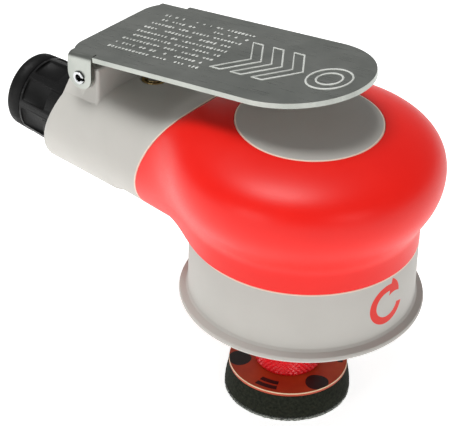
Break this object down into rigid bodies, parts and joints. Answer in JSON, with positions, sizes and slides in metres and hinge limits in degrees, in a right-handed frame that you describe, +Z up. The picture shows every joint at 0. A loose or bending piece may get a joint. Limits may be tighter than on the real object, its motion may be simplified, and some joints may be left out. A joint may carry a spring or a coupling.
{
  "type": "orbital sander",
  "caption": "Palm-size pneumatic random orbital sander: round foam pad on an orbiting spindle, vane motor head with a soft grip, side handle with throttle lever and threaded air inlet.",
  "frame": {"origin": "on the air motor's axis, in the plane of the abrasive's working face", "axes": "+Z up along the motor's axis, from the abrasive to the dome; the handle and its air inlet point along -X"},
  "size_m": [0.127, 0.0668, 0.0937],
  "materials": {
    "grey_nylon": "moulded, very fine satin texture",
    "red_overmould": "satin soft-touch overmould",
    "lever_steel": "brushed sheet with bright rolled edges",
    "bright_steel": "ground and polished",
    "bearing_steel": "ground bearing steel",
    "dark_steel": "turned and oiled",
    "aluminium": "turned",
    "brass": "turned",
    "black_plastic": "glass-filled, faint sheen",
    "black_rubber": "moulded",
    "vane_resin": "resin laminate",
    "felt": "pressed felt",
    "red_hub": "moulded, knurled",
    "pad_plate": "varnished fibre disc with dark printed blocks",
    "pad_foam": "closed-cell foam",
    "abrasive": "coated abrasive cloth"
  },
  "bodies": {
    "housing": {"housing": "grey_nylon", "grip": "red_overmould", "shroud": "grey_nylon", "lever_pin": "bright_steel", "inlet_bushing": "black_plastic", "inlet_ring": "black_rubber", "inlet_screen": "brass", "valve_seat": "black_rubber", "valve_spring": "bright_steel", "stem_bush": "brass", "regulator_clip": "bright_steel", "muffler": "felt", "muffler_cover": "black_plastic", "rear_end_plate": "aluminium", "rear_bearing_outer_ring": "bearing_steel", "motor_ring": "black_rubber", "locating_pin": "bright_steel", "cylinder": "dark_steel", "front_end_plate": "aluminium", "front_bearing_outer_ring": "bearing_steel", "lock_ring": "aluminium"},
    "lever": {"lever": "lever_steel"},
    "valve_stem": {"valve_stem": "bright_steel", "stem_ring": "black_rubber"},
    "tip_valve": {"tip_valve": "brass"},
    "speed_regulator": {"speed_regulator": "black_plastic", "regulator_ring": "black_rubber"},
    "rotor": {"rotor": "dark_steel", "rotor_key": "bright_steel", "vane_1": "vane_resin", "vane_2": "vane_resin", "vane_3": "vane_resin", "vane_4": "vane_resin", "vane_5": "vane_resin", "shaft_balancer": "dark_steel", "rear_bearing_inner_ring": "bearing_steel", "front_bearing_inner_ring": "bearing_steel", "spindle_bearing_outer_ring": "bearing_steel", "spindle_clip": "dark_steel"},
    "rear_bearing_cage": {"rear_bearing_ball_cage": "bearing_steel"},
    "front_bearing_cage": {"front_bearing_ball_cage": "bearing_steel"},
    "pad_spindle": {"spindle_bearing_inner_ring": "bearing_steel", "dust_shield": "bright_steel", "spindle": "dark_steel", "pad_hub": "red_hub", "pad_plate": "pad_plate", "pad_foam": "pad_foam", "abrasive_disc": "abrasive"},
    "spindle_bearing_cage": {"spindle_bearing_ball_cage": "bearing_steel"}
  },
  "joints": [
    {"name": "lever_press", "type": "hinge", "parent": "housing", "child": "lever", "pos_m": [-0.0586, 0, 0.0749], "axis": [0, 1, 0], "range_deg": [0, 6.5], "stiffness_Nm_per_rad": 0.8, "springref_deg": -5.73},
    {"name": "valve_stem_slide", "type": "slide", "parent": "housing", "child": "valve_stem", "axis": [0, 0, -1], "range_m": [0, 0.00095]},
    {"name": "tip_valve_tilt", "type": "hinge", "parent": "housing", "child": "tip_valve", "pos_m": [-0.0612, 0, 0.0548], "axis": [0, 1, 0], "range_deg": [0, 5.2], "deforming": ["valve_spring"]},
    {"name": "speed_regulator_turn", "type": "hinge", "parent": "housing", "child": "speed_regulator", "pos_m": [-0.035, 0, 0.0394], "axis": [0, 0, 1], "range_deg": [0, 75]},
    {"name": "rotor_spin", "type": "hinge", "parent": "housing", "child": "rotor", "pos_m": [0, 0, 0.058], "axis": [0, 0, 1], "continuous": true},
    {"name": "rear_cage_spin", "type": "hinge", "parent": "housing", "child": "rear_bearing_cage", "pos_m": [0, 0, 0.074], "axis": [0, 0, 1], "continuous": true},
    {"name": "front_cage_spin", "type": "hinge", "parent": "housing", "child": "front_bearing_cage", "pos_m": [0, 0, 0.0396], "axis": [0, 0, 1], "continuous": true},
    {"name": "pad_spin", "type": "hinge", "parent": "rotor", "child": "pad_spindle", "pos_m": [-0.00182, -0.00153, 0.02], "axis": [0, 0, 1], "continuous": true},
    {"name": "spindle_cage_spin", "type": "hinge", "parent": "rotor", "child": "spindle_bearing_cage", "pos_m": [-0.00182, -0.00153, 0.029], "axis": [0, 0, 1], "continuous": true}
  ],
  "couplings": [
    {"joint": "valve_stem_slide", "follows": "lever_press", "m_per_rad": 0.0082},
    {"joint": "tip_valve_tilt", "follows": "lever_press", "ratio": 0.79},
    {"joint": "rear_cage_spin", "follows": "rotor_spin", "ratio": 0.4077},
    {"joint": "front_cage_spin", "follows": "rotor_spin", "ratio": 0.4326},
    {"joint": "spindle_cage_spin", "follows": "pad_spin", "ratio": 0.4139}
  ]
}
